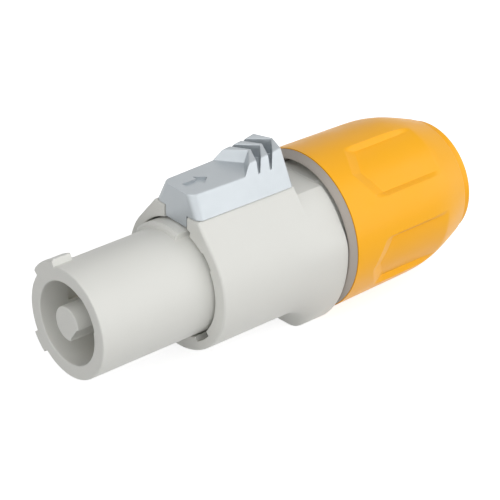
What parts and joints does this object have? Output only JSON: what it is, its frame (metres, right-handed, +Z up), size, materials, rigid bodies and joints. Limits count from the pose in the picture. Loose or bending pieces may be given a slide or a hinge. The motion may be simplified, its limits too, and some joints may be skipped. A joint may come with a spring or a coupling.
{
  "type": "twist-lock power connector",
  "caption": "Cable-end twist-lock power connector: round keyed nose with bayonet lugs, sliding thumb latch on a grey housing, and a channelled orange clamping grip.",
  "frame": {"origin": "centre of the mating face, on the connector's axis", "axes": "+X along the axis to the cable entry, +Z up through the latch, so +Y is the far side in the picture"},
  "size_m": [0.0777, 0.0278, 0.0333],
  "materials": {
    "grey_shell": "satin moulded light grey",
    "grey_insert": "satin moulded light grey",
    "dark_block": "matte black moulding",
    "contact_brass": "plain brass",
    "bright_steel": "plated steel",
    "latch_zinc": "satin plated die casting",
    "collet_plastic": "natural moulding",
    "seal_rubber": "matte black rubber",
    "warm_grey_nut": "matte warm grey",
    "orange_grip": "satin orange grip"
  },
  "bodies": {
    "shell": {"housing": "grey_shell", "plug_insert": "grey_insert", "terminal_block": "dark_block", "retaining_ring": "dark_block", "live_contact": "contact_brass", "neutral_contact": "contact_brass", "earth_contact": "contact_brass", "live_clamp_plate": "contact_brass", "neutral_clamp_plate": "contact_brass", "earth_clamp_plate": "contact_brass", "live_terminal_screw": "bright_steel", "neutral_terminal_screw": "bright_steel", "earth_terminal_screw": "bright_steel", "latch_spring": "bright_steel"},
    "slider": {"latch": "latch_zinc", "spring_pin": "bright_steel"},
    "chuck": {"collet": "collet_plastic", "gland_sleeve": "seal_rubber"},
    "nut": {"clamp_nut": "warm_grey_nut", "grip_sleeve": "orange_grip"}
  },
  "joints": [
    {"name": "latch_slide", "type": "slide", "parent": "shell", "child": "slider", "axis": [1, 0, 0], "range_m": [0, 0.003], "stiffness_N_per_m": 1500, "springref_m": -0.0015, "deforming": ["latch_spring"]},
    {"name": "chuck_slide", "type": "slide", "parent": "shell", "child": "chuck", "axis": [1, 0, 0], "range_m": [0, 0.003]},
    {"name": "nut_turn", "type": "hinge", "parent": "chuck", "child": "nut", "pos_m": [0.06, 0, 0], "axis": [1, 0, 0], "range_deg": [0, 540]}
  ],
  "couplings": [
    {"joint": "nut_turn", "follows": "chuck_slide", "rad_per_m": 3141.6}
  ]
}
